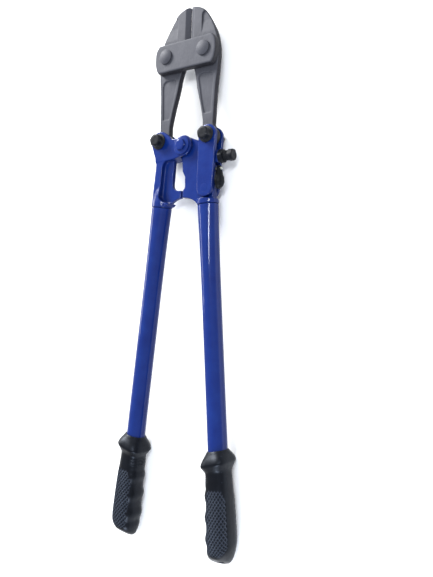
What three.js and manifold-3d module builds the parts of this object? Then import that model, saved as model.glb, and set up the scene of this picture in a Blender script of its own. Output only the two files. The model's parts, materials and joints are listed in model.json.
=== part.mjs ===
// Bolt cutters with forged jaws and two long tubular handles, built as separate pieces.
// Millimetres. X across the tool, Y along it with the jaws at +Y, Z up from the surface it lies on.
// The local frame of every piece has its origin midway between the two jaw pivots, at mid-thickness.
import * as THREE from "three";
import { mergeVertices } from "three/addons/utils/BufferGeometryUtils.js";
import Module from "manifold-3d";

const wasm = await Module();
wasm.setup();

// ---- Driving dimensions ----
const OVERALL = 612;
const TIP_REACH = 57; // jaw pivot line to the blade tips
const MID_Z = 18.2; // height of the mid-plane above the surface
const GAP = 0.3; // gap between touching pieces

// Head linkage
const JAW_PIVOT = new THREE.Vector2(25.8, 0);
const TAIL = new THREE.Vector2(33, -96.4); // jaw tail bolt
const FULCRUM = new THREE.Vector2(0, -104.5);
const RIVET = new THREE.Vector2(31.9, -154.5); // lower end of the side links
const HALF_BLADE_GAP = 0.15;

// Thicknesses, as half heights from the mid-plane
const JAW_Z = 3.8;
const PLATE_Z = [JAW_Z + GAP, 12.1];
const REAR_PLATE_THICK = 4.5;
const TONGUE_Z = 4.2;
const EAR_Z = [TONGUE_Z + GAP, 9];
const WEB_Z = 2.6;

// Fasteners
const PIVOT_SHANK = 7; // shoulder that turns in the jaw and the front plate
const PIVOT_THREAD = 4.4;
const PIVOT_HEAD = 8.4;
const PIVOT_NUT = { flats: 13, height: 3.6 };
const BOLT_SHANK = 4;
const TAIL_FASTENER = { flats: 13.2, head: 6.8, nut: 6, washer: 9, thick: 1.5, reach: MID_Z };
const FULCRUM_FASTENER = { flats: 12, head: 2.8, nut: 4.5, washer: 10.5, thick: 2, reach: 17 };

// Handles
const SPLAY = THREE.MathUtils.degToRad(5.36);
const SOCKET = new THREE.Vector2(32.4, -172.5); // where a tube meets its casting, on the tube's axis
const TUBE_RADIUS = 10.7;
const TUBE_WALL = 2.2;
const TUBE_FLARE = 1.15; // extra width across the flat of the tool at the socket
const FLARE_LENGTH = 100;
const GRIP_TOP = 262; // along the axis from the socket
const GRIP_END_RADIUS = 8;
const HANDLE_REACH = OVERALL - TIP_REACH + SOCKET.y - GRIP_END_RADIUS * Math.sin(SPLAY);
const GRIP_LENGTH = HANDLE_REACH / Math.cos(SPLAY) - GRIP_TOP; // so that the tool is OVERALL long
const GRIP_END_WALL = 22;
const COLLAR_RADIUS = MID_Z;
const COLLAR_TILT = 0.18; // slope of the guard collar across the handle, outer side high
const END_LIFT = 15; // how much sooner the outer side of a grip rounds off
const STOP_GAP = 3.4; // between the two stop stubs when the blades meet
const STOP_X = -2.2;

// Adjuster
const ADJUST_Y = -120;
const STUD_Y = -133.2;
const LINK_RADIUS = [11.6, 10.2]; // side link, at the tail bolt and at the rivet

// ---- Materials ----
function finish(colour, roughness, metalness) {
  return () => new THREE.MeshStandardMaterial({ color: colour, roughness, metalness });
}
const forgedSteel = finish(0x7f828b, 0.45, 0.9);
const blueEnamel = finish(0x1c3a9c, 0.25, 0.1);
const blackOxide = finish(0x24252a, 0.4, 0.6);
const rubber = finish(0x1b1d22, 0.7, 0);
const zinc = finish(0x9aa39a, 0.35, 0.9);

// ---- Solid helpers ----
function solid(geometry) {
  const bare = geometry.index ? geometry.toNonIndexed() : geometry.clone();
  bare.deleteAttribute("normal");
  bare.deleteAttribute("uv");
  const merged = mergeVertices(bare, 1e-4);
  const vertProperties = new Float32Array(merged.attributes.position.array);
  const triVerts = new Uint32Array(merged.index.array);
  return new wasm.Manifold(new wasm.Mesh({ numProp: 3, vertProperties, triVerts }));
}

function toGeometry(manifold) {
  const mesh = manifold.getMesh();
  const geometry = new THREE.BufferGeometry();
  geometry.setAttribute("position", new THREE.BufferAttribute(mesh.vertProperties, 3));
  geometry.setIndex(new THREE.BufferAttribute(mesh.triVerts, 1));
  geometry.computeVertexNormals();
  return geometry;
}

const join = (...solids) => solids.reduce((all, next) => all.add(next));
const cut = (body, ...tools) => tools.reduce((left, tool) => left.subtract(tool), body);

// A flat piece between two heights. Its faces are drawn in by inset over the height edge.
function slab(shape, low, high, inset = 0, edge = inset, curveSegments = 6, steps = 1) {
  const geometry = new THREE.ExtrudeGeometry(shape, {
    depth: high - low - 2 * edge,
    bevelEnabled: inset > 0,
    bevelThickness: edge,
    bevelSize: inset,
    bevelOffset: -inset,
    bevelSegments: steps,
    curveSegments,
  });
  geometry.translate(0, 0, low + edge);
  return solid(geometry);
}

// The same outline above and below the mid-plane, as one tool for cutting both faces.
function bothFaces(body, shape, low, high) {
  return cut(body, slab(shape, low, high), slab(shape, -high, -low));
}

// Turns a profile of [radius, height] pairs round the Y axis, with its faces pointing out
// whichever way round the profile is listed.
function revolve(profile, segments) {
  const points = profile.map(([r, y]) => new THREE.Vector2(r, y));
  const runsDown = THREE.ShapeUtils.isClockWise(points);
  return new THREE.LatheGeometry(runsDown ? points.reverse() : points, segments);
}

function discAt(centre, radius) {
  const shape = new THREE.Shape();
  shape.absarc(centre.x, centre.y, radius, 0, 2 * Math.PI);
  return shape;
}

function pinAt(centre, radius, low, high, segments = 12) {
  return slab(discAt(centre, radius), low, high, 0, 0, segments);
}

function polygon(points) {
  return new THREE.Shape(points.map(([x, y]) => new THREE.Vector2(x, y)));
}

function boxBetween(low, high) {
  const size = high.map((h, i) => h - low[i]);
  const geometry = new THREE.BoxGeometry(...size);
  geometry.translate(...low.map((l, i) => l + size[i] / 2));
  return solid(geometry);
}

function hexShape(centre, flats, turn = 0) {
  const corner = flats / Math.sqrt(3);
  const points = [];
  for (let i = 0; i < 6; i += 1) {
    const angle = turn + (i * Math.PI) / 3;
    points.push([centre.x + corner * Math.cos(angle), centre.y + corner * Math.sin(angle)]);
  }
  return polygon(points);
}

const mirrored = (point, side) => new THREE.Vector2(point.x * side, point.y);

// Mirrors a right-hand solid to the left, or leaves it.
function onSide(body, side) {
  return side > 0 ? body : body.mirror([1, 0, 0]);
}

// ---- Scene graph ----
const tool = new THREE.Group();
tool.position.set(0, OVERALL / 2 - TIP_REACH, MID_Z);

function piece(name, body, material) {
  const mesh = new THREE.Mesh(toGeometry(body), material());
  mesh.name = name;
  tool.add(mesh);
}

// ---- Jaws ----
function jawOutline() {
  const lug = 11;
  const outer = new THREE.Shape();
  outer.moveTo(HALF_BLADE_GAP, 1);
  outer.lineTo(HALF_BLADE_GAP, 56);
  outer.lineTo(3.4, TIP_REACH);
  outer.splineThru(
    [
      [14, 53.2],
      [21.8, 46.5],
      [31.8, 31],
      [38.6, 15.4],
      [41.6, -3],
      [40.9, -21.5],
      [38.9, -45],
      [37.6, -86.8],
    ].map(([x, y]) => new THREE.Vector2(x, y)),
  );
  const start = Math.acos((37.6 - TAIL.x) / lug);
  const end = Math.PI - Math.acos((TAIL.x - 22.2) / lug);
  outer.absarc(TAIL.x, TAIL.y, lug, start, end, true);
  outer.lineTo(22.2, -78);
  outer.splineThru(
    [
      [18.4, -60],
      [13.2, -41],
      [9.2, -22],
      [4.6, -11],
    ].map(([x, y]) => new THREE.Vector2(x, y)),
  );
  return outer;
}

function shankPanel() {
  const shape = new THREE.Shape();
  shape.moveTo(15.4, -29.5);
  shape.quadraticCurveTo(15.6, -24.4, 20.5, -23.8);
  shape.lineTo(31, -24.6);
  shape.quadraticCurveTo(35, -26, 35.2, -32);
  shape.lineTo(33.4, -70.2);
  shape.lineTo(24.4, -70.2);
  shape.lineTo(21, -58);
  return shape;
}

// The cheek outside the blade's land, ground away so that it deepens from the plate upwards.
function cheekRelief() {
  const depth = 1.5;
  const shape = new THREE.Shape();
  shape.moveTo(17, 18);
  shape.lineTo(17, 43.4);
  shape.quadraticCurveTo(17.4, 46.6, 21.6, 48);
  shape.lineTo(50, 49);
  shape.lineTo(50, 18);
  const ramp = polygon([
    [22, JAW_Z],
    [36, JAW_Z - depth],
    [62, JAW_Z - depth],
    [62, JAW_Z + 2],
    [22, JAW_Z + 2],
  ]);
  const above = new THREE.ExtrudeGeometry(ramp, { depth: 60, bevelEnabled: false });
  above.rotateX(Math.PI / 2);
  above.rotateZ(Math.PI / 2);
  return slab(shape, 0, JAW_Z + 3).intersect(solid(above));
}

// Space that a jaw's tail bolt takes in its lug. The right one is long, because that pivot is
// left open in the chain of joints and its bolt wanders a little as the tool opens.
function tailHole(side) {
  if (side < 0) return pinAt(TAIL, BOLT_SHANK + GAP, -JAW_Z - 1, JAW_Z + 1);
  const radius = BOLT_SHANK + 1.1;
  const wander = 3.4;
  const shape = new THREE.Shape();
  shape.absarc(TAIL.x, TAIL.y, radius, Math.PI / 2, 1.5 * Math.PI, false);
  shape.absarc(TAIL.x + wander, TAIL.y, radius, 1.5 * Math.PI, 2.5 * Math.PI, false);
  return slab(shape, -JAW_Z - 1, JAW_Z + 1, 0, 0, 10);
}

function jaw(side) {
  const draft = 1;
  const bevelWidth = 5.8;
  let body = slab(jawOutline(), -JAW_Z, JAW_Z, draft, JAW_Z - 0.5, 7);
  body = bothFaces(body, shankPanel(), JAW_Z - 1.1, JAW_Z + 1);
  const relief = cheekRelief();
  body = cut(body, relief, relief.mirror([0, 0, 1]));
  const bevel = polygon([
    [-3, 0.4],
    [HALF_BLADE_GAP, 0.4],
    [bevelWidth, JAW_Z],
    [bevelWidth, JAW_Z + 3],
    [-3, JAW_Z + 3],
  ]);
  const wedge = new THREE.ExtrudeGeometry(bevel, { depth: 55, bevelEnabled: false });
  wedge.rotateX(Math.PI / 2);
  wedge.translate(0, 63, 0);
  const upper = solid(wedge);
  body = cut(body, upper, upper.mirror([0, 0, 1]));
  body = join(body, pinAt(TAIL, 10, -TONGUE_Z, TONGUE_Z, 9));
  body = cut(body, pinAt(JAW_PIVOT, PIVOT_SHANK + GAP, -JAW_Z - 1, JAW_Z + 1, 12));
  body = cut(body, tailHole(side));
  return onSide(body, side);
}

piece("left_jaw", jaw(-1), forgedSteel);
piece("right_jaw", jaw(1), forgedSteel);

// ---- Link plates ----
// Right-hand corners of each plate, from the bottom up. The rear one hides behind the jaws.
const FRONT_PLATE = [
  [36.4, -17.9],
  [39.9, -13],
  [41.9, -3],
  [40.9, 8.5],
  [36.2, 14.9],
];
const REAR_PLATE = [
  [30.5, -7.6],
  [33.2, -5.6],
  [34.4, 0],
  [33.8, 6],
  [31, 10],
];

function plateOutline(half) {
  const bottom = half[0];
  const top = half[half.length - 1];
  const shape = new THREE.Shape();
  shape.moveTo(-bottom[0], bottom[1]);
  shape.lineTo(...bottom);
  shape.splineThru(half.slice(1).map(([x, y]) => new THREE.Vector2(x, y)));
  shape.lineTo(-top[0], top[1]);
  const left = half.slice(0, -1).reverse();
  shape.splineThru(left.map(([x, y]) => new THREE.Vector2(-x, y)));
  return shape;
}

// A plate lying on the jaws, with its visible edges rounded and its inner face flat.
function linkPlate(half, thick, bore) {
  const edge = 1.5;
  const low = PLATE_Z[0];
  let body = slab(plateOutline(half), low - edge, low + thick, edge, edge, 4, 2);
  body = cut(body, boxBetween([-60, -40, low - 9], [60, 40, low]));
  for (const side of [-1, 1]) {
    body = cut(body, pinAt(mirrored(JAW_PIVOT, side), bore, low - 1, low + thick + 1));
  }
  return body;
}

const frontPlate = linkPlate(FRONT_PLATE, PLATE_Z[1] - PLATE_Z[0], PIVOT_SHANK + GAP);
const rearPlate = linkPlate(REAR_PLATE, REAR_PLATE_THICK, PIVOT_THREAD + GAP);
piece("front_link_plate", frontPlate, forgedSteel);
piece("rear_link_plate", rearPlate.mirror([0, 0, 1]), forgedSteel);

// ---- Jaw pivots ----
const PIVOT_NUT_TOP = -PLATE_Z[0] - REAR_PLATE_THICK - GAP;

function pivotBolt(centre) {
  const face = PLATE_Z[1] + GAP;
  const rim = 1.4;
  const dome = 1.8;
  const tip = PIVOT_NUT_TOP - PIVOT_NUT.height - 0.8;
  const profile = [
    [0, tip],
    [PIVOT_THREAD - 0.5, tip],
    [PIVOT_THREAD, tip + 0.5],
    [PIVOT_THREAD, -JAW_Z],
    [PIVOT_SHANK, -JAW_Z],
    [PIVOT_SHANK, face],
    [PIVOT_HEAD, face],
    [PIVOT_HEAD, face + rim],
    [PIVOT_HEAD * 0.8, face + rim + 0.36 * dome],
    [PIVOT_HEAD * 0.45, face + rim + 0.8 * dome],
    [0, face + rim + dome],
  ];
  const geometry = revolve(profile, 24);
  geometry.rotateX(Math.PI / 2);
  geometry.translate(centre.x, centre.y, 0);
  return solid(geometry);
}

function pivotNut(centre) {
  const low = PIVOT_NUT_TOP - PIVOT_NUT.height;
  const body = slab(hexShape(centre, PIVOT_NUT.flats), low, PIVOT_NUT_TOP, 0.5);
  return cut(body, pinAt(centre, PIVOT_THREAD + GAP, low - 1, PIVOT_NUT_TOP + 1));
}

for (const [name, side] of [["left", -1], ["right", 1]]) {
  piece(`${name}_pivot_bolt`, pivotBolt(mirrored(JAW_PIVOT, side)), forgedSteel);
  piece(`${name}_pivot_nut`, pivotNut(mirrored(JAW_PIVOT, side)), blackOxide);
}

// ---- Bolts, washers and nuts of the handle joints ----
function joinBolt(centre, turn, size) {
  const seat = EAR_Z[1] + size.thick + 2 * GAP;
  const shank = pinAt(centre, BOLT_SHANK, -size.reach, seat + 0.5, 8);
  const head = slab(hexShape(centre, size.flats, turn), seat, seat + size.head, 0.7);
  return join(head, shank);
}

function washer(centre, low, size) {
  const top = low + size.thick;
  const body = pinAt(centre, size.washer, low, top, 9);
  return cut(body, pinAt(centre, BOLT_SHANK + GAP, low - 1, top + 1, 8));
}

function joinNut(centre, turn, size) {
  const top = -EAR_Z[1] - size.thick - 2 * GAP;
  const body = slab(hexShape(centre, size.flats, turn), top - size.nut, top, 0.6);
  return cut(body, pinAt(centre, BOLT_SHANK + GAP, top - size.nut - 1, top + 1, 8));
}

const joints = [
  ["left_tail", mirrored(TAIL, -1), 0.35, TAIL_FASTENER, blackOxide],
  ["right_tail", TAIL, 0.2, TAIL_FASTENER, blackOxide],
  ["fulcrum", FULCRUM, 0.5, FULCRUM_FASTENER, blueEnamel],
];
for (const [name, centre, turn, size, coat] of joints) {
  const frontWasher = EAR_Z[1] + GAP;
  const rearWasher = -frontWasher - size.thick;
  piece(`${name}_bolt`, joinBolt(centre, turn, size), coat);
  piece(`${name}_nut`, joinNut(centre, turn + 0.4, size), coat);
  piece(`${name}_front_washer`, washer(centre, frontWasher, size), coat);
  piece(`${name}_rear_washer`, washer(centre, rearWasher, size), coat);
}

// ---- Handle castings ----
const BAR_END = -171; // where a casting's bar runs out into its round socket end

// Point on a handle's axis, at a height above or below the socket.
function axisX(y) {
  return SOCKET.x + (SOCKET.y - y) * Math.tan(SPLAY);
}

// Turns a right-hand solid that stands on the Y axis so that it runs down the right handle.
function alongHandle(geometry) {
  geometry.rotateZ(SPLAY);
  geometry.translate(SOCKET.x, SOCKET.y, 0);
  return geometry;
}

// Oval ring that the tube butts against, with the spigot that fills the tube's mouth.
function socketEnd() {
  const wide = TUBE_RADIUS + 0.9;
  const spigot = TUBE_RADIUS - TUBE_WALL - GAP;
  const profile = [
    [0, 24],
    [wide - 3, 24],
    [wide - 1, 14],
    [wide, 7],
    [wide, 1],
    [wide - 0.7, GAP],
    [spigot, GAP],
    [spigot, -20],
    [0, -20],
  ];
  const geometry = revolve(profile, 28);
  geometry.scale(TUBE_FLARE - 0.06, 1, 1);
  return solid(alongHandle(geometry));
}

// Outline of the bar from the fork down to the socket, with its stop stub, for the right hand.
// The inner edge is given as its distance from the tool's centre line.
function armOutline(top, innerTop, innerLow, stubTip) {
  const outer = 10.2;
  const shape = new THREE.Shape();
  shape.moveTo(innerTop, top);
  shape.lineTo(innerLow, -147);
  shape.quadraticCurveTo(innerLow - 0.4, -152, (innerLow + stubTip) / 2, -153.4);
  shape.lineTo(stubTip, -154);
  shape.lineTo(stubTip, -162.6);
  shape.quadraticCurveTo(14.6, -164, 19.6, BAR_END);
  shape.lineTo(axisX(BAR_END) + outer, BAR_END);
  shape.lineTo(axisX(-128) + outer, -128);
  shape.lineTo(axisX(-118) + outer, top);
  return shape;
}

// Everything the jaw tail and the other casting's tongue sweep inside the fork of the left casting.
function forkSlot() {
  const low = -TONGUE_Z - GAP;
  const wide = 13;
  const tail = pinAt(TAIL, wide, low, -low, 10);
  const tongue = pinAt(FULCRUM, wide, low, -low, 10);
  const above = boxBetween([-25, -105, low], [60, -60, -low]);
  const between = boxBetween([0, -108, low], [TAIL.x, -80, -low]);
  return join(tail, tongue, above, between);
}

function earOutline() {
  const shape = new THREE.Shape();
  const lug = 12;
  shape.absarc(TAIL.x, TAIL.y, lug, -0.25, 2.1, false);
  shape.quadraticCurveTo(19, -91, 15.4, -95.4);
  shape.lineTo(11, -95.4);
  shape.absarc(FULCRUM.x, FULCRUM.y, lug, 0.9, -1.9 + 2 * Math.PI, false);
  shape.lineTo(2, -116.2);
  shape.lineTo(11.5, -118.6);
  shape.lineTo(38, -121);
  shape.lineTo(axisX(-118) + 11.5, -115.4);
  return shape;
}

// Sunk panel between the outer spine and the inner rim of the left casting.
function leftRecess() {
  const shape = new THREE.Shape();
  shape.moveTo(4, -119.8);
  shape.lineTo(21, -119);
  shape.quadraticCurveTo(27.4, -119.6, 28.2, -130);
  shape.lineTo(30, -160);
  shape.quadraticCurveTo(28.6, -165, 21.5, -167.4);
  shape.lineTo(10, -169);
  shape.lineTo(-8, -166);
  shape.lineTo(-8, -119.8);
  return shape;
}

function leftCasting() {
  const stub = -STOP_X + STOP_GAP / 2;
  const outline = armOutline(-112, 14.4, 16.2, stub);
  const ears = slab(earOutline(), -EAR_Z[1], EAR_Z[1], 0.9, 0.9, 9, 2);
  let body = join(slab(outline, -8.6, 8.6, 2.2, 2.2, 5, 2), socketEnd());
  body = join(bothFaces(body, leftRecess(), WEB_Z, 14), ears);
  body = cut(body, forkSlot());
  for (const centre of [TAIL, FULCRUM]) {
    body = cut(body, pinAt(centre, BOLT_SHANK + GAP, -12, 12, 8));
  }
  return onSide(body, -1);
}

// The right casting is a thin tongue where the side links and the fork lie over it.
function tongueOutline() {
  const lug = 11.6;
  const shape = new THREE.Shape();
  shape.absarc(FULCRUM.x, FULCRUM.y, lug, 1, 4.4, false);
  shape.lineTo(-1.8, -133);
  shape.lineTo(1.6, -139);
  shape.lineTo(2.2, -150.6);
  shape.quadraticCurveTo(1.6, -153.6, STOP_X + STOP_GAP / 2, -154);
  shape.lineTo(STOP_X + STOP_GAP / 2, -162.6);
  shape.quadraticCurveTo(14, -163.6, 19.6, BAR_END);
  shape.lineTo(42, BAR_END);
  shape.lineTo(40.3, -150);
  shape.lineTo(40, -128);
  shape.lineTo(28, -127.6);
  shape.lineTo(28, -109.4);
  shape.absarc(30.6, -95.8, 12.6, -1.8, -2.78, true);
  shape.lineTo(17, -99.2);
  return shape;
}

function rightCasting() {
  let body = slab(tongueOutline(), -TONGUE_Z, TONGUE_Z, 0.8, 0.8, 8, 2);
  const collar = cut(socketEnd(), boxBetween([-10, -166.2, -30], [70, -60, 30]));
  body = join(body, collar);
  body = cut(body, pinAt(FULCRUM, BOLT_SHANK + 2 + 2 * GAP, -12, 12, 8));
  body = cut(body, pinAt(RIVET, BOLT_SHANK + GAP, -12, 12, 8));
  const studHole = new THREE.CylinderGeometry(1.7 + GAP, 1.7 + GAP, 12, 16);
  studHole.rotateZ(Math.PI / 2);
  studHole.translate(38.5, STUD_Y, 0);
  return cut(body, solid(studHole));
}

piece("left_casting", leftCasting(), blueEnamel);
piece("right_casting", rightCasting(), blueEnamel);

// Sleeve that keeps the fulcrum bolt from clamping the tongue.
const sleeve = cut(
  pinAt(FULCRUM, BOLT_SHANK + 2 + GAP, -TONGUE_Z, TONGUE_Z, 8),
  pinAt(FULCRUM, BOLT_SHANK + GAP, -TONGUE_Z - 1, TONGUE_Z + 1, 8),
);
piece("fulcrum_bushing", sleeve, zinc);

// ---- Side links and blade adjuster ----
function linkOutline() {
  const [upper, lower] = LINK_RADIUS;
  const shape = new THREE.Shape();
  shape.absarc(TAIL.x, TAIL.y, upper, 0, Math.PI, false);
  shape.absarc(RIVET.x, RIVET.y, lower, Math.PI, 2 * Math.PI, false);
  return shape;
}

function sideLink() {
  const [low, high] = EAR_Z;
  const edge = 1.1;
  let body = slab(linkOutline(), low - edge, high, edge, edge, 12, 2);
  body = cut(body, boxBetween([0, -180, low - 9], [60, -70, low]));
  body = cut(body, pinAt(TAIL, BOLT_SHANK + GAP, 0, 12, 8));
  body = cut(body, pinAt(RIVET, BOLT_SHANK + GAP, 0, 12, 8));
  const trunnion = new THREE.Vector2(39, ADJUST_Y);
  return cut(body, pinAt(trunnion, 3 + GAP, low - 1, low + 2.4, 6));
}

piece("front_side_link", sideLink(), blueEnamel);
piece("rear_side_link", sideLink().mirror([0, 0, 1]), blueEnamel);
piece("side_link_rivet", pinAt(RIVET, BOLT_SHANK, -EAR_Z[1] - 0.2, EAR_Z[1] + 0.2, 8), blueEnamel);

// A turned piece with its axis along X, at the height of the adjusting screw.
function turned(profile, segments) {
  const geometry = revolve(profile, segments);
  geometry.rotateZ(-Math.PI / 2);
  geometry.translate(0, ADJUST_Y, 0);
  return solid(geometry);
}

// A hexagon with its axis along X, at the height of the adjusting screw.
function hexAlongX(flats, from, to, chamfer) {
  const shape = hexShape(new THREE.Vector2(0, 0), flats);
  const body = new THREE.ExtrudeGeometry(shape, {
    depth: to - from - 2 * chamfer,
    bevelThickness: chamfer,
    bevelSize: chamfer,
    bevelOffset: -chamfer,
    bevelSegments: 1,
  });
  body.rotateY(Math.PI / 2);
  body.translate(from + chamfer, ADJUST_Y, 0);
  return solid(body);
}

const SCREW_RADIUS = 3;
const NUT_FACE = 45.6;
const screwBore = turned(
  [
    [0, 20],
    [SCREW_RADIUS + GAP, 20],
    [SCREW_RADIUS + GAP, 60],
    [0, 60],
  ],
  16,
);

function screwBlock() {
  const body = slab(
    polygon([
      [33.2, -126.6],
      [NUT_FACE - GAP, -126.6],
      [NUT_FACE - GAP, -113.4],
      [33.2, -113.4],
    ]),
    -TONGUE_Z,
    TONGUE_Z,
    0.6,
  );
  const trunnion = pinAt(new THREE.Vector2(39, ADJUST_Y), 3, -6.4, 6.4, 6);
  return cut(join(body, trunnion), screwBore);
}

function adjustingScrew() {
  const collar = 5.6;
  const body = turned(
    [
      [0, 28.4],
      [SCREW_RADIUS - 0.8, 28.4],
      [SCREW_RADIUS, 29.4],
      [SCREW_RADIUS, 52.2],
      [collar - 0.5, 52.2],
      [collar, 52.9],
      [collar, 57.6],
      [0, 57.6],
    ],
    16,
  );
  return join(body, hexAlongX(12, 57.2, 63.5, 0.9));
}

piece("screw_block", screwBlock(), blueEnamel);
piece("adjusting_screw", adjustingScrew(), blackOxide);
piece("lock_nut", cut(hexAlongX(13.6, NUT_FACE, 51.6, 0.6), screwBore), blackOxide);

// Pear-shaped lever on a stud, flat towards the side links and domed outwards.
const LEVER_FACE = 43.8;
const STUD_RADIUS = 1.7;

function lockLever() {
  const profile = [
    [0, -23],
    [3.2, -22.1],
    [5.6, -19.1],
    [6.9, -14.5],
    [6.3, -10.1],
    [4.8, -5.5],
    [3.8, -1],
    [2.6, 2.7],
    [0, 3.9],
  ];
  const geometry = revolve(profile, 24);
  geometry.translate(LEVER_FACE + 1, STUD_Y, 0);
  const bore = new THREE.CylinderGeometry(STUD_RADIUS + GAP, STUD_RADIUS + GAP, 30, 16);
  bore.rotateZ(Math.PI / 2);
  bore.translate(45, STUD_Y, 0);
  const inside = boxBetween([20, -170, -20], [LEVER_FACE, -120, 20]);
  return cut(solid(geometry), inside, solid(bore));
}

function leverStud() {
  const body = new THREE.CylinderGeometry(STUD_RADIUS, STUD_RADIUS, 14.6, 16);
  body.rotateZ(Math.PI / 2);
  body.translate(41.8, STUD_Y, 0);
  return solid(body);
}

piece("lock_lever", lockLever(), blackOxide);
piece("lever_stud", leverStud(), zinc);

// ---- Tubes ----
// Width factor across the tool at a distance down the tube.
function flare(distance) {
  const t = Math.min(1, Math.max(0, distance / FLARE_LENGTH));
  return 1 + (TUBE_FLARE - 1) * (1 - t) * (1 - t);
}

function tube() {
  const length = GRIP_TOP + GRIP_LENGTH - GRIP_END_WALL - 3;
  const inner = TUBE_RADIUS - TUBE_WALL;
  const stations = [0, 25, 50, 75, 100, length];
  const outside = stations.map((d) => [TUBE_RADIUS, -d]);
  const inside = stations.map((d) => [inner, -d]).reverse();
  const geometry = revolve([...outside, ...inside, [TUBE_RADIUS, 0]], 28);
  const position = geometry.attributes.position;
  for (let i = 0; i < position.count; i += 1) {
    position.setX(i, position.getX(i) * flare(-position.getY(i)));
  }
  return solid(alongHandle(geometry));
}

// ---- Grips ----
// Moves a grip's rings along the handle, so that the guard collar slopes and the end is oblique.
function skewGrip(geometry) {
  const collar = GRIP_TOP + 13;
  const end = GRIP_TOP + GRIP_LENGTH;
  const position = geometry.attributes.position;
  for (let i = 0; i < position.count; i += 1) {
    const x = position.getX(i);
    const distance = -position.getY(i);
    const nearCollar = Math.exp(-(((distance - collar) / 20) ** 2));
    const nearEnd = THREE.MathUtils.smoothstep(distance, end - 32, end);
    const outward = Math.max(0, x / 16);
    const rise = COLLAR_TILT * x * nearCollar + END_LIFT * nearEnd * outward ** 2;
    position.setY(i, rise - distance);
  }
  return geometry;
}

function grip() {
  const bore = TUBE_RADIUS + GAP;
  const end = GRIP_TOP + GRIP_LENGTH;
  const vent = 4.5;
  const profile = [
    [bore, GRIP_TOP],
    [11.9, GRIP_TOP],
    [13.4, GRIP_TOP + 3],
    [COLLAR_RADIUS - 1.2, GRIP_TOP + 9.5],
    [COLLAR_RADIUS, GRIP_TOP + 13],
    [COLLAR_RADIUS - 1, GRIP_TOP + 16],
    [14.6, GRIP_TOP + 22],
    [14.6, GRIP_TOP + 34],
    [15.6, GRIP_TOP + 55],
    [16.1, GRIP_TOP + 85],
    [15.2, GRIP_TOP + 106],
    [12.6, end - 4],
    [GRIP_END_RADIUS, end],
    [vent, end],
    [vent, end - GRIP_END_WALL],
    [bore, end - GRIP_END_WALL],
    [bore, GRIP_TOP],
  ];
  return solid(alongHandle(skewGrip(revolve(profile.map(([r, d]) => [r, -d]), 28))));
}

for (const [name, side] of [["left", -1], ["right", 1]]) {
  piece(`${name}_tube`, onSide(tube(), side), blueEnamel);
  piece(`${name}_grip`, onSide(grip(), side), rubber);
}

export default tool;
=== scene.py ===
"""Bolt cutters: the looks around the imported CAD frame.

Every visible piece replaces one CAD node and rides on that node's body. Forged and cast pieces are
remeshed from their node, and turned, threaded and moulded pieces are built ring by ring.
Lengths in this file are metres; MM turns a length in millimetres into metres.
"""
import json
import math

import bmesh
import bpy
from mathutils import Matrix, Vector, noise


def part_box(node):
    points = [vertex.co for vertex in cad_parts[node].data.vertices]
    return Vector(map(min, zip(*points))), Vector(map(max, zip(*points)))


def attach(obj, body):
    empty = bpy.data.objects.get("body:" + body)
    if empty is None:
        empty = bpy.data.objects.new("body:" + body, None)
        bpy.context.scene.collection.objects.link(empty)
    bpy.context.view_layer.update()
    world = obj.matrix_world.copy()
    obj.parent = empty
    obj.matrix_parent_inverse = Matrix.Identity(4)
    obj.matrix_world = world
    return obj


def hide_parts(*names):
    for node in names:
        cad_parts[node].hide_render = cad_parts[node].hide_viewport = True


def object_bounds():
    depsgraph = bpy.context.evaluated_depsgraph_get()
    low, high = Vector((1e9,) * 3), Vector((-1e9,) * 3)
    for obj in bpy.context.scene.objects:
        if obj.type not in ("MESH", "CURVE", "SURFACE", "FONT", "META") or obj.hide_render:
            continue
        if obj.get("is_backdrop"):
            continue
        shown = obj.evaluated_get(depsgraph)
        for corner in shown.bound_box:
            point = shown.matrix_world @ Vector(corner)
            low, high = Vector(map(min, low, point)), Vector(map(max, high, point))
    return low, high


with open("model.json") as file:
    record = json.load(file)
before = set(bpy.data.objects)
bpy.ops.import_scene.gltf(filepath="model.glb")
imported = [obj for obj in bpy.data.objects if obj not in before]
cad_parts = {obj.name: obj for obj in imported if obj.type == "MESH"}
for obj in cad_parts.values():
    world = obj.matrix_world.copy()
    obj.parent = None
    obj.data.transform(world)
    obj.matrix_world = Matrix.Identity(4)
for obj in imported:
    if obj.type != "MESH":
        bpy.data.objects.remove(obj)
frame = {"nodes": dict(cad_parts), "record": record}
CAD_BOX = [list(corner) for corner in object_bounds()]
nodes = frame["nodes"]
BODY_OF = {n: body for body, ns in frame["record"]["behaviour"]["bodies"].items() for n in ns}
SLOT_OF = {part["node"]: part["material_slot"] for part in frame["record"]["subparts"]}
MM = 0.001
TAU = 2 * math.pi


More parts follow.
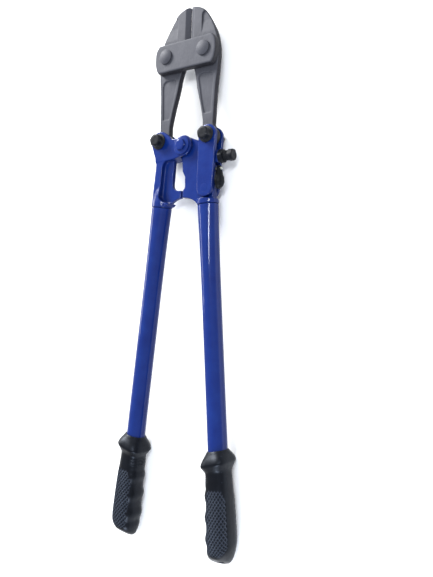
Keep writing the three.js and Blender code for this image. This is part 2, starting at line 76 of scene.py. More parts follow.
# ---- Node helpers for materials ----
class Shader:
    """One procedural material, with short calls for the nodes that it is made of."""

    def __init__(self, name):
        self.material = bpy.data.materials.new(name)
        self.material.use_nodes = True
        self.tree = self.material.node_tree
        self.surface = self.tree.nodes["Principled BSDF"]
        self.place = self.tree.nodes.new("ShaderNodeTexCoord").outputs["Object"]

    def link(self, output, socket):
        self.tree.links.new(output, socket)

    def node(self, kind, **values):
        made = self.tree.nodes.new(kind)
        for key, value in values.items():
            setattr(made, key, value)
        return made

    def noise(self, size, detail=3.0, rough=0.55, stretch=(1, 1, 1)):
        """Noise whose features are about size metres across."""
        mapping = self.node("ShaderNodeMapping")
        mapping.inputs["Scale"].default_value = [s / size for s in stretch]
        self.link(self.place, mapping.inputs["Vector"])
        texture = self.node("ShaderNodeTexNoise")
        texture.inputs["Scale"].default_value = 1.0
        texture.inputs["Detail"].default_value = detail
        texture.inputs["Roughness"].default_value = rough
        self.link(mapping.outputs["Vector"], texture.inputs["Vector"])
        return texture.outputs["Fac"]

    def ramp(self, value, low, high, start=0.0, end=1.0):
        """value from low..high mapped on to start..end, and held there outside."""
        made = self.node("ShaderNodeMapRange")
        for key, number in zip(("From Min", "From Max", "To Min", "To Max"), (low, high, start, end)):
            made.inputs[key].default_value = number
        self.link(value, made.inputs["Value"])
        return made.outputs["Result"]

    def math(self, operation, first, second):
        made = self.node("ShaderNodeMath", operation=operation)
        for socket, value in zip(made.inputs, (first, second)):
            if isinstance(value, (int, float)):
                socket.default_value = value
            else:
                self.link(value, socket)
        return made.outputs["Value"]

    def mix(self, factor, first, second):
        made = self.node("ShaderNodeMix", data_type="RGBA")
        self.link(factor, made.inputs["Factor"])
        for socket, value in ((made.inputs["A"], first), (made.inputs["B"], second)):
            if isinstance(value, tuple):
                socket.default_value = (*value, 1)
            else:
                self.link(value, socket)
        return made.outputs["Result"]

    def edges(self, low=0.52, high=0.6):
        """1 along convex edges, 0 elsewhere."""
        geometry = self.node("ShaderNodeNewGeometry")
        return self.ramp(geometry.outputs["Pointiness"], low, high)

    def crevices(self, low=0.42, high=0.49):
        """1 in hollow corners, 0 elsewhere."""
        geometry = self.node("ShaderNodeNewGeometry")
        return self.ramp(geometry.outputs["Pointiness"], low, high, 1.0, 0.0)

    def flat(self, low, high):
        """1 on faces that look to the front or back of the tool, 0 on the walls round its sides."""
        split = self.node("ShaderNodeSeparateXYZ")
        coordinates = self.node("ShaderNodeTexCoord")
        self.link(coordinates.outputs["Normal"], split.inputs["Vector"])
        return self.ramp(self.math("ABSOLUTE", split.outputs["Z"], 0), low, high)

    def bump(self, layers):
        """layers holds (height output, depth in metres) pairs, stacked into one normal."""
        normal = None
        for height, depth in layers:
            made = self.node("ShaderNodeBump")
            made.inputs["Strength"].default_value = 1.0
            made.inputs["Distance"].default_value = depth
            self.link(height, made.inputs["Height"])
            if normal is not None:
                self.link(normal, made.inputs["Normal"])
            normal = made.outputs["Normal"]
        self.link(normal, self.surface.inputs["Normal"])
        return normal

    def set(self, **values):
        """Constants, or node outputs, on the shader's sockets."""
        for key, value in values.items():
            socket = self.surface.inputs[key.replace("_", " ")]
            if isinstance(value, (int, float)):
                socket.default_value = value
            elif isinstance(value, tuple):
                socket.default_value = (*value, 1)
            else:
                self.link(value, socket)


def forged_steel():
    s = Shader("forged_steel")
    cloud = s.noise(14 * MM, 4)
    grain = s.noise(0.7 * MM, 2)
    lines = s.noise(0.5 * MM, 3, stretch=(1, 0.06, 1))
    pits = s.noise(2.2 * MM, 3, 0.7)
    tone = s.mix(s.ramp(cloud, 0.3, 0.7), (0.038, 0.040, 0.051), (0.048, 0.050, 0.062))
    tone = s.mix(s.ramp(lines, 0.35, 0.75, 0, 0.35), tone, (0.072, 0.075, 0.090))
    tone = s.mix(s.ramp(pits, 0.62, 0.75, 0, 0.3), tone, (0.07, 0.068, 0.075))
    # Painted shade: hollow corners are darkened.
    tone = s.mix(s.math("MULTIPLY", s.crevices(), 0.75), tone, (0.012, 0.012, 0.016))
    # Painted shade: the walls round the sides take a darker pitted tone, while the front and back faces keep
    # the lighter one.
    wall_shade_tone = s.mix(s.ramp(pits, 0.4, 0.7), (0.015, 0.015, 0.019), (0.025, 0.025, 0.031))
    tone = s.mix(s.flat(0.48, 0.8), wall_shade_tone, tone)
    # Lighter convex edges: partly worn bare steel, partly painted highlight.
    tone = s.mix(s.math("MULTIPLY", s.edges(), 0.3), tone, (0.18, 0.19, 0.21))
    s.set(Base_Color=tone, Metallic=0.05, Specular_IOR_Level=0.16)
    s.set(Roughness=s.ramp(grain, 0.3, 0.7, 0.5, 0.66))
    s.bump([(cloud, 0.15 * MM), (grain, 0.04 * MM), (lines, 0.02 * MM)])
    return s.material


def blue_enamel():
    s = Shader("blue_enamel")
    cloud = s.noise(20 * MM, 3)
    peel = s.noise(2.4 * MM, 2)
    fine = s.noise(0.9 * MM, 2)
    dust = s.noise(3.2 * MM, 5, 0.75)
    tone = s.mix(s.ramp(cloud, 0.3, 0.7), (0.0016, 0.0125, 0.108), (0.0036, 0.0195, 0.138))
    tone = s.mix(s.ramp(dust, 0.6, 0.8, 0, 0.2), tone, (0.010, 0.028, 0.16))
    # Painted shade: the walls round the sides are darkened, while the front and back faces keep the plain
    # blue.
    tone = s.mix(s.ramp(s.flat(0.1, 0.8), 0, 1, 0.55, 0), tone, (0.003, 0.008, 0.065))
    # Painted shade: hollow corners are darkened.
    tone = s.mix(s.math("MULTIPLY", s.crevices(), 0.5), tone, (0.003, 0.008, 0.06))
    # Painted highlight: convex edges are lightened to a paler blue.
    tone = s.mix(s.math("MULTIPLY", s.edges(0.54, 0.66), 0.35), tone, (0.03, 0.07, 0.30))
    s.set(Base_Color=tone, Roughness=s.ramp(dust, 0.3, 0.8, 0.3, 0.46), Coat_Weight=0.45)
    s.set(Coat_Roughness=0.07, Coat_IOR=1.5, Specular_IOR_Level=0.03)
    normal = s.bump([(cloud, 0.14 * MM), (peel, 0.06 * MM), (fine, 0.012 * MM)])
    s.link(normal, s.surface.inputs["Coat Normal"])
    return s.material


def black_oxide():
    s = Shader("black_oxide")
    cloud = s.noise(5 * MM, 4)
    grain = s.noise(0.6 * MM, 2)
    tone = s.mix(s.ramp(cloud, 0.35, 0.7), (0.003, 0.004, 0.0065), (0.006, 0.0075, 0.011))
    # Lighter convex edges: partly worn black oxide, partly painted highlight.
    tone = s.mix(s.math("MULTIPLY", s.edges(0.53, 0.62), 0.5), tone, (0.06, 0.062, 0.07))
    s.set(Base_Color=tone, Metallic=0.05, Specular_IOR_Level=0.1)
    s.set(Roughness=s.ramp(cloud, 0.3, 0.7, 0.32, 0.5))
    s.bump([(cloud, 0.08 * MM), (grain, 0.025 * MM)])
    return s.material


def grip_rubber():
    s = Shader("grip_rubber")
    cloud = s.noise(12 * MM, 3)
    grain = s.noise(0.8 * MM, 3)
    scuff = s.noise(4 * MM, 5, 0.75)
    tone = s.mix(s.ramp(cloud, 0.3, 0.7), (0.0012, 0.0015, 0.0028), (0.0022, 0.0028, 0.0048))
    tone = s.mix(s.ramp(scuff, 0.62, 0.85, 0, 0.3), tone, (0.006, 0.0075, 0.011))
    rib = s.node("ShaderNodeAttribute", attribute_name="rib").outputs["Fac"]
    # Painted highlight: the crests of the diamond ribs are lightened to a bluish grey, dimmed a little by
    # the scuff noise.
    tone = s.mix(s.math("MULTIPLY", rib, s.ramp(scuff, 0.3, 0.7, 0.5, 1.0)), tone, (0.040, 0.050, 0.072))
    # Painted highlight: convex edges are lightened to a bluish grey.
    tone = s.mix(s.math("MULTIPLY", s.edges(0.53, 0.62), 0.4), tone, (0.03, 0.037, 0.053))
    s.set(Base_Color=tone, Roughness=s.ramp(scuff, 0.3, 0.8, 0.32, 0.46))
    s.set(Specular_IOR_Level=0.18, Specular_Tint=(0.75, 0.84, 1))
    s.bump([(grain, 0.05 * MM), (cloud, 0.15 * MM)])
    return s.material


def zinc_plate():
    s = Shader("zinc_plate")
    cloud = s.noise(4 * MM, 4)
    grain = s.noise(0.5 * MM, 2)
    tone = s.mix(s.ramp(cloud, 0.3, 0.7), (0.30, 0.32, 0.27), (0.40, 0.40, 0.38))
    # Painted shade: hollow corners are darkened.
    tone = s.mix(s.math("MULTIPLY", s.crevices(), 0.6), tone, (0.08, 0.08, 0.08))
    s.set(Base_Color=tone, Metallic=0.9, Roughness=s.ramp(grain, 0.3, 0.7, 0.28, 0.42))
    s.bump([(grain, 0.02 * MM)])
    return s.material


MATERIALS = {
    "forged_steel": forged_steel(),
    "blue_enamel": blue_enamel(),
    "black_oxide": black_oxide(),
    "grip_rubber": grip_rubber(),
    "zinc_plate": zinc_plate(),
}


# ---- Putting a piece in place ----
def stand_for(node, mesh, smooth_angle=40):
    """Shows the mesh in place of a CAD node, on the same body and with the same finish."""
    mesh.name = node + "_shown"
    mesh.shade_smooth()
    mesh.set_sharp_from_angle(angle=math.radians(smooth_angle))
    mesh.materials.clear()
    mesh.materials.append(MATERIALS[SLOT_OF[node]])
    piece = bpy.data.objects.new(node + "_shown", mesh)
    bpy.context.scene.collection.objects.link(piece)
    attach(piece, BODY_OF[node])
    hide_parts(node)


def centre(node):
    low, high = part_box(node)
    return (low + high) / 2


# ---- Forged and cast pieces ----
def remeshed(node, voxel, smooth):
    """The node's solid as an even skin with softened edges."""
    mesh = nodes[node].data.copy()
    work = bmesh.new()
    work.from_mesh(mesh)
    bmesh.ops.remove_doubles(work, verts=work.verts, dist=0.002 * MM)
    work.to_mesh(mesh)
    work.free()
    holder = bpy.data.objects.new("holder", mesh)
    bpy.context.scene.collection.objects.link(holder)
    remesh = holder.modifiers.new("remesh", "REMESH")
    remesh.mode = "VOXEL"
    remesh.voxel_size = voxel
    soften = holder.modifiers.new("soften", "SMOOTH")
    soften.factor = 0.5
    soften.iterations = smooth
    bpy.context.view_layer.update()
    graph = bpy.context.evaluated_depsgraph_get()
    result = bpy.data.meshes.new_from_object(holder.evaluated_get(graph))
    bpy.data.objects.remove(holder)
    return result


def roughen(mesh, depth, size):
    """Moves the skin in and out a little, as sand or millscale leaves it."""
    offsets = []
    for vertex in mesh.vertices:
        amount = noise.noise(vertex.co / size) + 0.5 * noise.noise(vertex.co * 2.7 / size)
        offsets.append(vertex.normal * (depth * (amount - 0.6)))
    for vertex, offset in zip(mesh.vertices, offsets):
        vertex.co += offset


SKINS = {
    # node: (voxel, smoothing rounds, roughness depth, roughness size), in millimetres
    "left_jaw": (0.48, 2, 0.05, 6),
    "right_jaw": (0.48, 2, 0.05, 6),
    "front_link_plate": (0.5, 3, 0.05, 7),
    "rear_link_plate": (0.6, 5, 0.05, 7),
    "left_casting": (0.5, 5, 0.08, 5),
    "right_casting": (0.5, 5, 0.08, 5),
    "front_side_link": (0.5, 4, 0.06, 6),
    "rear_side_link": (0.5, 4, 0.06, 6),
    "screw_block": (0.5, 3, 0.08, 4),
    "lock_lever": (0.45, 6, 0.05, 4),
}
for node, (voxel, rounds, depth, size) in SKINS.items():
    skin = remeshed(node, voxel * MM, rounds)
    roughen(skin, depth * MM, size * MM)
    stand_for(node, skin, 70)


# ---- Pieces built ring by ring ----
def skinned(rings, closed=False):
    """A mesh over rings of points. A ring of one point is a pole; closed joins the last to the first."""
    work = bmesh.new()
    rows = [[work.verts.new(point) for point in ring] for ring in rings]
    pairs = list(zip(rows, rows[1:]))
    if closed:
        pairs.append((rows[-1], rows[0]))
    for lower, upper in pairs:
        count = max(len(lower), len(upper))
        for i in range(count):
            j = (i + 1) % count
            below = [lower[i % len(lower)], lower[j % len(lower)]]
            above = [upper[j % len(upper)], upper[i % len(upper)]]
            unique = list(dict.fromkeys(below + above))
            if len(unique) > 2:
                work.faces.new(unique)
    bmesh.ops.recalc_face_normals(work, faces=work.faces)
    mesh = bpy.data.meshes.new("rings")
    work.to_mesh(mesh)
    work.free()
    return mesh


def hexagon(angle, flats):
    """Distance from the middle of a hexagon to its outline, with slightly rounded corners."""
    across = math.cos((angle + math.pi / 6) % (math.pi / 3) - math.pi / 6)
    plain = flats / 2 / across
    return (plain**-30 + (flats * 0.562) ** -30) ** (-1 / 30)


class Lathe:
    """Rings round an axis, listed as (radius, height) rows with a way to shape each row."""

    def __init__(self, origin, axis="Z", segments=72, turn=0.0):
        self.origin = Vector(origin)
        self.along, self.first, self.second = {
            "Z": (Vector((0, 0, 1)), Vector((1, 0, 0)), Vector((0, 1, 0))),
            "X": (Vector((1, 0, 0)), Vector((0, 1, 0)), Vector((0, 0, 1))),
        }[axis]
        self.segments = segments
        self.turn = turn
        self.rings = []

    def add(self, radius, height, shape=None):
        if radius == 0:
            self.rings.append([self.origin + self.along * height])
            return
        ring = []
        for i in range(self.segments):
            angle = TAU * i / self.segments
            reach = shape(angle - self.turn, radius, height) if shape else radius
            side = self.first * math.cos(angle) + self.second * math.sin(angle)
            ring.append(self.origin + side * reach + self.along * height)
        self.rings.append(ring)

    def rows(self, rows, shape=None):
        for radius, height in rows:
            self.add(radius, height, shape)

    def thread(self, radius, start, end, pitch):
        """A screw thread between two heights."""
        depth = 0.55 * pitch
        count = max(2, round(abs(end - start) / (pitch / 6)))

        def helix(angle, radius, height):
            turn = (height / pitch - angle / TAU) % 1
            return radius - depth * abs(2 * turn - 1)

        for i in range(count + 1):
            self.add(radius, start + (end - start) * i / count, helix)

    def mesh(self, closed=False):
        return skinned(self.rings, closed)


def hex_limit(flats):
    """Keeps a row inside a hexagon."""

    def shape(angle, radius, height):
        return (radius**-40 + hexagon(angle, flats) ** -40) ** (-1 / 40)

    return shape


def hex_head_rows(flats, seat, top):
    """Rows of a hexagonal head from its seat to its top, with the usual turned chamfer."""
    corner = flats * 0.577
    outward = 1 if top > seat else -1
    slope = 0.45 * (corner - flats * 0.47)
    rows = [(flats * 0.47, seat), (corner, seat + outward * 0.15 * MM)]
    for share in (0, 0.25, 0.5, 0.75, 1):
        rows.append((corner + (flats * 0.47 - corner) * share, top - outward * slope * (1.15 - share)))
    rows.append((flats * 0.455, top))
    return rows


def hex_bolt(node, flats, shank, washer, turn):
    """A bolt whose head stands on the washer's top face."""
    low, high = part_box(node)
    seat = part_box(washer)[1].z + 0.1 * MM
    middle = centre(node)
    lathe = Lathe((middle.x, middle.y, 0), turn=turn)
    lathe.add(0, low.z)
    lathe.add(shank - 0.8 * MM, low.z)
    lathe.thread(shank, low.z + 0.6 * MM, low.z + 8 * MM, 1.25 * MM)
    lathe.rows([(shank, low.z + 8.6 * MM), (shank, seat)])
    lathe.rows(hex_head_rows(flats, seat, high.z), hex_limit(flats))
    lathe.rows([(flats * 0.3, high.z), (0, high.z)])
    stand_for(node, lathe.mesh(), 32)


def hex_nut(node, flats, bore, turn, axis="Z"):
    low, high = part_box(node)
    middle = centre(node)
    bottom, top = (low.z, high.z) if axis == "Z" else (low.x, high.x)
    origin = (middle.x, middle.y, 0) if axis == "Z" else (0, middle.y, middle.z)
    lathe = Lathe(origin, axis, turn=turn)
    chamfer = 0.5 * MM
    lathe.rows([(bore + chamfer, bottom), (bore, bottom + chamfer)])
    lathe.rows([(bore, top - chamfer), (bore + chamfer, top)])
    half = (bottom + top) / 2
    upper = hex_head_rows(flats, half, top)[2:]
    lower = hex_head_rows(flats, half, bottom)[2:]
    lathe.rows(list(reversed(upper)) + lower, hex_limit(flats))
    stand_for(node, lathe.mesh(closed=True), 32)


def ring_piece(node, bore):
    """A washer or sleeve with broken edges."""
    low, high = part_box(node)
    middle = centre(node)
    radius = (high.x - low.x) / 2
    edge = min(0.35 * MM, (high.z - low.z) / 3)
    lathe = Lathe((middle.x, middle.y, 0))
    lathe.rows([(bore, low.z), (bore, high.z), (radius - edge, high.z)])
    lathe.rows([(radius - 0.3 * edge, high.z - 0.3 * edge), (radius, high.z - edge)])
    lathe.rows([(radius, low.z + edge), (radius - edge, low.z)])
    stand_for(node, lathe.mesh(closed=True), 32)


BOLT_SHANK = 4 * MM
BOLT_FLATS = 13.2 * MM
FULCRUM_FLATS = 12 * MM
BOLTS = (("left_tail", BOLT_FLATS, 0.35), ("right_tail", BOLT_FLATS, 0.2), ("fulcrum", FULCRUM_FLATS, 0.5))
for name, flats, turn in BOLTS:
    hex_bolt(name + "_bolt", flats, BOLT_SHANK, name + "_front_washer", turn)
    hex_nut(name + "_nut", flats, BOLT_SHANK + 0.15 * MM, turn + 0.4)
    ring_piece(name + "_front_washer", BOLT_SHANK + 0.3 * MM)
    ring_piece(name + "_rear_washer", BOLT_SHANK + 0.3 * MM)
ring_piece("fulcrum_bushing", BOLT_SHANK + 0.3 * MM)

PIVOT_SHOULDER = 7 * MM
PIVOT_THREAD = 4.4 * MM
PIVOT_NUT_FLATS = 13 * MM
PIVOT_DOME = 2 * MM


def pivot_bolt(node):
    """A shouldered bolt with a low round dome for a head."""
    low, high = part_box(node)
    middle = centre(node)
    radius = (high.x - low.x) / 2
    jaw_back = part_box("left_jaw")[0].z
    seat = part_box("front_link_plate")[1].z + 0.1 * MM
    rim = high.z - PIVOT_DOME
    lathe = Lathe((middle.x, middle.y, 0), segments=96)
    lathe.add(0, low.z)
    lathe.add(PIVOT_THREAD - 0.9 * MM, low.z)
    lathe.thread(PIVOT_THREAD, low.z + 0.6 * MM, low.z + 5 * MM, 1.25 * MM)
    lathe.rows([(PIVOT_THREAD, jaw_back), (PIVOT_SHOULDER, jaw_back), (PIVOT_SHOULDER, seat)])
    lathe.rows([(radius - 0.3 * MM, seat), (radius, seat + 0.3 * MM), (radius, rim - 0.2 * MM)])
    for i in range(1, 10):
        angle = i / 10 * math.pi / 2
        rise = PIVOT_DOME * math.sin(angle) * (0.15 + 0.85 * math.sin(angle))
        lathe.add(radius * math.cos(angle), rim + rise)
    lathe.add(0, high.z)
    stand_for(node, lathe.mesh(), 40)


for side in ("left", "right"):
    pivot_bolt(side + "_pivot_bolt")
    hex_nut(side + "_pivot_nut", PIVOT_NUT_FLATS, PIVOT_THREAD + 0.1 * MM, 0.3)


def rivet(node):
    """A pin whose ends are spread and a little sunk."""
    low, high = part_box(node)
    middle = centre(node)
    radius = (high.x - low.x) / 2
    lathe = Lathe((middle.x, middle.y, 0))
    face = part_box("front_side_link")[1].z + 0.02 * MM
    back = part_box("rear_side_link")[0].z - 0.02 * MM
    spread = radius + 0.7 * MM
    for share in (0, 0.3, 0.6, 0.85, 1):
        lathe.add(spread * share, low.z + (back - low.z) * share**3)
    lathe.rows([(radius, back + 0.05 * MM), (radius, face - 0.05 * MM)])
    for share in (1, 0.85, 0.6, 0.3, 0):
        lathe.add(spread * share, high.z + (face - high.z) * share**3)
    stand_for(node, lathe.mesh(), 50)


rivet("side_link_rivet")

SCREW_RADIUS = 3 * MM
SCREW_PITCH = 1 * MM
SCREW_HEAD_FLATS = 12 * MM
SCREW_COLLAR = 5.6 * MM
SCREW_COLLAR_LENGTH = 5.4 * MM
SCREW_RIBS = 22
SCREW_RIB_DEPTH = 0.7 * MM
SCREW_RIB_SLOPE = 0.32 * MM
LOCK_NUT_FLATS = 13.6 * MM


def knurled(count, depth):
    """Crossed ribs round a row."""

    def shape(angle, radius, height):
        first = math.cos(count * angle + height / SCREW_RIB_SLOPE)
        second = math.cos(count * angle - height / SCREW_RIB_SLOPE)
        return radius + depth * (max(first, second) - 1) / 2

    return shape


def adjusting_screw(node):
    low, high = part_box(node)
    middle = centre(node)
    collar_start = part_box("lock_nut")[1].x + 0.6 * MM
    collar_end = collar_start + SCREW_COLLAR_LENGTH
    lathe = Lathe((0, middle.y, middle.z), "X", segments=120, turn=0.1)
    lathe.add(0, low.x)
    lathe.add(SCREW_RADIUS - 0.8 * MM, low.x)
    lathe.thread(SCREW_RADIUS, low.x + 0.6 * MM, collar_start - 0.2 * MM, SCREW_PITCH)
    lathe.rows([(SCREW_RADIUS, collar_start), (SCREW_COLLAR - 0.5 * MM, collar_start)])
    rows = 18
    ribbed_start = collar_start + 0.4 * MM
    ribbed_length = collar_end - collar_start - 0.6 * MM
    ribs = [(SCREW_COLLAR, ribbed_start + ribbed_length * i / rows) for i in range(rows + 1)]
    lathe.rows(ribs, knurled(SCREW_RIBS, SCREW_RIB_DEPTH))
    lathe.rows([(SCREW_COLLAR - 0.8 * MM, collar_end), (SCREW_COLLAR - 1 * MM, collar_end + 0.3 * MM)])
    lathe.rows(hex_head_rows(SCREW_HEAD_FLATS, collar_end + 0.4 * MM, high.x), hex_limit(SCREW_HEAD_FLATS))
    lathe.rows([(SCREW_HEAD_FLATS * 0.3, high.x - 0.2 * MM), (0, high.x - 0.3 * MM)])
    stand_for(node, lathe.mesh(), 40)


adjusting_screw("adjusting_screw")
hex_nut("lock_nut", LOCK_NUT_FLATS, SCREW_RADIUS + 0.1 * MM, 0.0, "X")


def lever_stud(node):
    low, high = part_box(node)
    middle = centre(node)
    radius = (high.z - low.z) / 2
    lathe = Lathe((0, middle.y, middle.z), "X", segments=40)
    lathe.rows([(0, low.x), (radius * 0.8, low.x), (radius, low.x + 0.4 * MM), (radius, high.x - 0.7 * MM)])
    lathe.rows([(radius * 0.85, high.x - 0.25 * MM), (radius * 0.5, high.x), (0, high.x)])
    stand_for(node, lathe.mesh(), 40)


lever_stud("lever_stud")


# ---- Handles ----
def handle_axis(side):
    """The top of a handle's axis and the unit vectors down it, outwards and towards the front."""
    points = [vertex.co for vertex in nodes[side + "_tube"].data.vertices]
    ends = []
    for extreme in (max(p.y for p in points), min(p.y for p in points)):
        ring = [p for p in points if abs(p.y - extreme) < 3 * MM]
        ends.append(sum(ring, Vector()) / len(ring))
    top, bottom = ends
    down = (bottom - top).normalized()
    out = Vector((1 if side == "right" else -1, 0, 0))
    out = (out - down * out.dot(down)).normalized()
    return top, down, out, Vector((0, 0, 1)), (bottom - top).length


TUBE_RADIUS = 10.7 * MM
TUBE_WALL = 2.2 * MM
TUBE_FLARE = 0.15
FLARE_LENGTH = 100 * MM
TUBE_SEGMENTS = 96


def tube(side):
    """Steel tube, a little wider across the tool where it meets its casting."""
    top, down, out, front, length = handle_axis(side)

    def ring(radius, distance):
        left = 1 - min(1, max(0, distance / FLARE_LENGTH))
        wide = 1 + TUBE_FLARE * left * left
        points = []
        for i in range(TUBE_SEGMENTS):
            angle = TAU * i / TUBE_SEGMENTS
            across = out * (wide * math.cos(angle)) + front * math.sin(angle)
            points.append(top + down * distance + across * radius)
        return points

    inner = TUBE_RADIUS - TUBE_WALL
    edge = 0.5 * MM
    stations = [edge] + [i * 10 * MM for i in range(1, 11)] + [length - edge]
    rings = [ring(inner, 0), ring(TUBE_RADIUS - edge, 0)]
    rings += [ring(TUBE_RADIUS, distance) for distance in stations]
    rings += [ring(TUBE_RADIUS - edge, length), ring(inner, length)]
    stand_for(side + "_tube", skinned(rings, closed=True), 40)


GRIP_SEGMENTS = 300
COLLAR_TILT = 0.2
END_LIFT = 15 * MM
OBLIQUE = 0.7
EDGE_BLEND = 9 * MM
SCALLOP_PITCH = 22 * MM
VENT_AHEAD = 3.6 * MM
RING_STEP = 0.42 * MM
KNURL_PITCH = 5.3 * MM
KNURL_COUNT = 26
# In millimetres: distance from the collar's peak, radius towards the front, radius sideways. Then the
# squareness of the section, where 2 is an ellipse.
GRIP_PROFILE = [
    (-13.0, 11.2, 11.2, 2.0),
    (-12.6, 11.9, 11.8, 2.0),
    (-9.5, 13.7, 13.0, 2.4),
    (-5.0, 16.4, 14.8, 3.0),
    (-1.4, 18.0, 15.8, 3.3),
    (0.0, 18.2, 16.1, 3.3),
    (1.6, 17.9, 15.9, 3.2),
    (5.0, 16.0, 14.5, 2.9),
    (8.0, 14.5, 13.3, 2.6),
    (11.0, 13.9, 12.9, 2.6),
    (18.0, 14.0, 13.2, 2.6),
    (30.0, 14.8, 13.8, 2.6),
    (55.0, 15.7, 14.6, 2.6),
    (80.0, 15.9, 15.0, 2.6),
    (92.0, 15.3, 14.6, 2.5),
    (101.0, 13.4, 13.2, 2.3),
    (106.0, 10.6, 10.8, 2.1),
    (108.0, 8.0, 8.0, 2.0),
]


def smoothstep(low, high, value):
    share = min(1, max(0, (value - low) / (high - low)))
    return share * share * (3 - 2 * share)


def between(profile, distance):
    """The profile's columns at a distance, on smooth curves through its points."""
    index = 1
    while index < len(profile) - 2 and profile[index + 1][0] < distance:
        index += 1
    before, here, there, after = (profile[min(max(index + k, 0), len(profile) - 1)] for k in (-1, 0, 1, 2))
    if distance < profile[1][0]:
        before, here, there, after = profile[0], profile[0], profile[1], profile[2]
    span = there[0] - here[0]
    t = (distance - here[0]) / span
    values = []
    for column in range(1, len(here)):
        slope_here = (there[column] - before[column]) / max(1e-6, there[0] - before[0]) * span
        slope_there = (after[column] - here[column]) / max(1e-6, after[0] - here[0]) * span
        a = 2 * here[column] - 2 * there[column] + slope_here + slope_there
        b = -3 * here[column] + 3 * there[column] - 2 * slope_here - slope_there
        values.append(((a * t + b) * t + slope_here) * t + here[column])
    return values


def inner_side(angle):
    """How far a point on a grip looks inwards. angle is 0 towards the front, 90 degrees outwards."""
    return max(0.0, -math.sin(angle))


def finger_wave(distance):
    return 0.5 + 0.5 * math.cos(TAU * (distance - 33 * MM) / SCALLOP_PITCH)


def grip_ribs(angle, distance):
    """The diamond patch's share at a point, and how close the point is to the crest of a rib."""
    turn = (angle + math.pi) % TAU - math.pi
    patch = 0.0
    for facing in (0.0, math.pi):
        away = abs((turn - facing + math.pi) % TAU - math.pi)
        edge = math.radians(58)
        if inner_side(turn) > 0:
            edge = math.radians(43) - math.radians(5) * finger_wave(distance)
        edge -= math.radians(16) * (1 - smoothstep(25 * MM, 38 * MM, distance))
        edge -= math.radians(16) * smoothstep(84 * MM, 96 * MM, distance)
        patch += 1 - smoothstep(edge - math.radians(5), edge, away)
    patch *= smoothstep(25 * MM, 28 * MM, distance) * (1 - smoothstep(93 * MM, 96 * MM, distance))
    across = KNURL_COUNT * angle
    along = TAU * distance / KNURL_PITCH
    crest = max(0.5 + 0.5 * math.cos(across + along), 0.5 + 0.5 * math.cos(across - along)) ** 6
    return patch, crest


def grip_relief(angle, distance):
    """What stands proud of a grip's plain form."""
    inward = inner_side(angle)
    # Hollows for the fingers on the inner side
    zone = smoothstep(20 * MM, 30 * MM, distance) * (1 - smoothstep(84 * MM, 92 * MM, distance))
    hollow = 1.5 * finger_wave(distance) ** 1.6 - 1.0
    relief = zone * smoothstep(0.15, 0.75, inward) * MM * hollow
    patch, crest = grip_ribs(angle, distance)
    relief += patch * MM * (0.8 * crest - 0.5)
    # Small creases under the collar, on the inner side
    crease = smoothstep(10 * MM, 12 * MM, distance) * (1 - smoothstep(18 * MM, 21 * MM, distance))
    relief += crease * smoothstep(0.2, 0.6, inward) * 0.28 * MM * math.cos(TAU * distance / (1.9 * MM))
    return relief


def grip(side):
    """Moulded rubber grip with a sloping guard collar, finger hollows and diamond ribs."""
    node = side + "_grip"
    top, down, out, front, tube_length = handle_axis(side)
    points = [(vertex.co - top).dot(down) for vertex in nodes[node].data.vertices]
    lip = min(points) + 3.2 * MM
    end = max(points)
    peak = lip + 13 * MM
    stretch = (end - peak) / (GRIP_PROFILE[-1][0] * MM)

    def place(across, along, distance):
        """Slides a point down the handle by the slope of the collar and the oblique end."""
        near_collar = math.exp(-(((distance - peak) / (20 * MM)) ** 2))
        near_end = smoothstep(end - 32 * MM, end, distance)
        lift = COLLAR_TILT * across * near_collar + END_LIFT * near_end * max(0, across / (16 * MM)) ** 2
        plain = distance - lift
        cut = end - lift - OBLIQUE * (along + 3 * MM)
        blend = max(0, 1 - abs(plain - cut) / EDGE_BLEND)
        reach = min(plain, cut) - blend * blend * EDGE_BLEND / 4
        return top + down * reach + out * across + front * along

    crests = [[0.0]]

    def ring(distance, tall, wide, square, relief=True, ahead=0.0):
        points = []
        crests.append([])
        for i in range(GRIP_SEGMENTS):
            angle = TAU * i / GRIP_SEGMENTS
            sine, cosine = math.sin(angle), math.cos(angle)
            radius = (abs(cosine / tall) ** square + abs(sine / wide) ** square) ** (-1 / square)
            if relief:
                radius += grip_relief(angle, distance - peak)
                patch, crest = grip_ribs(angle, distance - peak)
                crests[-1].append(patch * crest)
            else:
                crests[-1].append(0.0)
            points.append(place(sine * radius, cosine * radius + ahead, distance))
        return points

    bore = TUBE_RADIUS + 0.15 * MM
    stop = tube_length + 1 * MM
    rings = [[place(0, 0, stop)], ring(stop, bore, bore, 2, False), ring(lip + 1 * MM, bore, bore, 2, False)]
    rings.append(ring(lip, 11.2 * MM, 11.2 * MM, 2, False))
    count = round((end - lip) / RING_STEP)
    for i in range(1, count + 1):
        distance = lip + (end - lip) * i / count
        reach = (distance - peak) / MM
        if distance > peak:
            reach /= stretch
        tall, wide, square = between(GRIP_PROFILE, reach)
        rings.append(ring(distance, tall * MM, wide * MM, square))
    # Vent in the middle of the oblique end
    for radius, depth in ((5.3, 0.0), (4.9, 0.0), (4.6, 0.4), (4.4, 3.5), (3.8, 8.0)):
        rim = ring(end, radius * MM, radius * MM, 2, False, VENT_AHEAD)
        rings.append([point - down * (depth * MM) for point in rim])
    rings.append([place(0, VENT_AHEAD, end) - down * (8.5 * MM)])
    crests.append([0.0])
    mesh = skinned(rings)
    # The rib crests, which the rubber shader lightens as a painted highlight.
    rib = mesh.attributes.new("rib", "FLOAT", "POINT")
    rib.data.foreach_set("value", [value for row in crests for value in row])
    stand_for(node, mesh, 60)


for side in ("left", "right"):
    tube(side)
    grip(side)

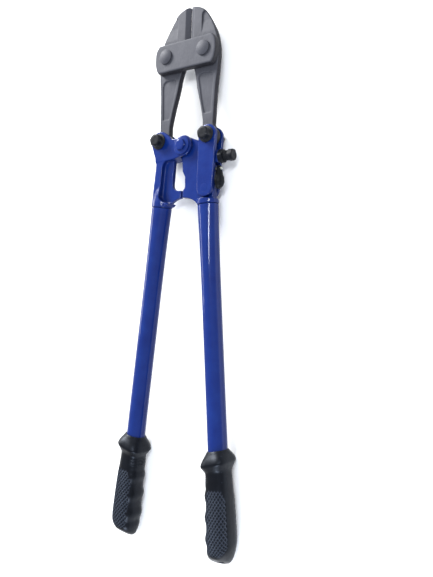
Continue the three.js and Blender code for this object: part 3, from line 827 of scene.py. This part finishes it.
# ---- Camera, floor and light ----
# The camera's angles, place and lens come from a perspective fit to the photo, made outside this script.
CAMERA_YAW = math.radians(33.443)
CAMERA_PITCH = math.radians(-2.111)
CAMERA_ROLL = math.radians(2.186)
CAMERA_PLACE = Vector((0.39376, -0.03832, 0.54219))
LENS = 36.37
SENSOR = 36
FLOOR_HALF = 6
FLOOR_CORNERS = ((-1, -1), (1, -1), (1, 1), (-1, 1))
WORLD_STRENGTH = 0.75
WHITE = (1, 1, 1)
LIGHTS = (
    # name, place, aim, size, power in watts, colour
    ("key", (-1.5, 1.6, 0.95), (0, 0, 0), (0.9, 0.9), 130, WHITE),
    ("gleam", (0.55, 0.35, 1.0), (0, 0, 0), (0.04, 0.6), 8, (0.9, 0.94, 1)),
    ("edge", (-1.3, 0.35, 0.4), (0, 0.1, 0), (0.9, 0.12), 6, WHITE),
    ("low", (0.35, -1.2, 0.6), (0.04, -0.25, 0), (0.6, 0.2), 14, (0.8, 0.88, 1)),
)


def add_camera():
    turn = Matrix.Rotation(CAMERA_ROLL, 3, "Z") @ Matrix.Rotation(CAMERA_PITCH, 3, "X")
    turn = turn @ Matrix.Rotation(CAMERA_YAW, 3, "Y")
    flip = Matrix.Diagonal((1, -1, -1))
    to_world = (flip @ turn @ flip).transposed()
    data = bpy.data.cameras.new("camera")
    data.lens = LENS
    data.sensor_width = SENSOR
    camera = bpy.data.objects.new("camera", data)
    camera.matrix_world = Matrix.Translation(CAMERA_PLACE) @ to_world.to_4x4()
    bpy.context.scene.collection.objects.link(camera)
    bpy.context.scene.camera = camera


def add_floor():
    """A wide pale sheet under the tool."""
    work = bmesh.new()
    corners = [work.verts.new((x * FLOOR_HALF, y * FLOOR_HALF, 0)) for x, y in FLOOR_CORNERS]
    work.faces.new(corners)
    mesh = bpy.data.meshes.new("floor")
    work.to_mesh(mesh)
    work.free()
    floor = bpy.data.objects.new("floor", mesh)
    bpy.context.scene.collection.objects.link(floor)
    s = Shader("floor")
    s.set(Base_Color=(0.9, 0.9, 0.9), Roughness=0.9, Specular_IOR_Level=0.1)
    mesh.materials.append(s.material)
    floor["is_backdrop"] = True


def add_light(name, place, aim, size, power, colour):
    data = bpy.data.lights.new(name, "AREA")
    data.shape = "RECTANGLE"
    data.size, data.size_y = size
    data.energy = power
    data.color = colour
    lamp = bpy.data.objects.new(name, data)
    lamp.location = place
    lamp.rotation_euler = (Vector(aim) - Vector(place)).to_track_quat("-Z", "Y").to_euler()
    bpy.context.scene.collection.objects.link(lamp)


def add_world(strength):
    world = bpy.data.worlds.new("studio")
    world.use_nodes = True
    background = world.node_tree.nodes["Background"]
    background.inputs["Color"].default_value = (1, 1, 1, 1)
    background.inputs["Strength"].default_value = strength
    bpy.context.scene.world = world


add_camera()
add_floor()
add_world(WORLD_STRENGTH)
for light in LIGHTS:
    add_light(*light)
bpy.context.scene.view_settings.view_transform = "Standard"

size = {"cad": CAD_BOX, "visual": [list(corner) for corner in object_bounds()]}
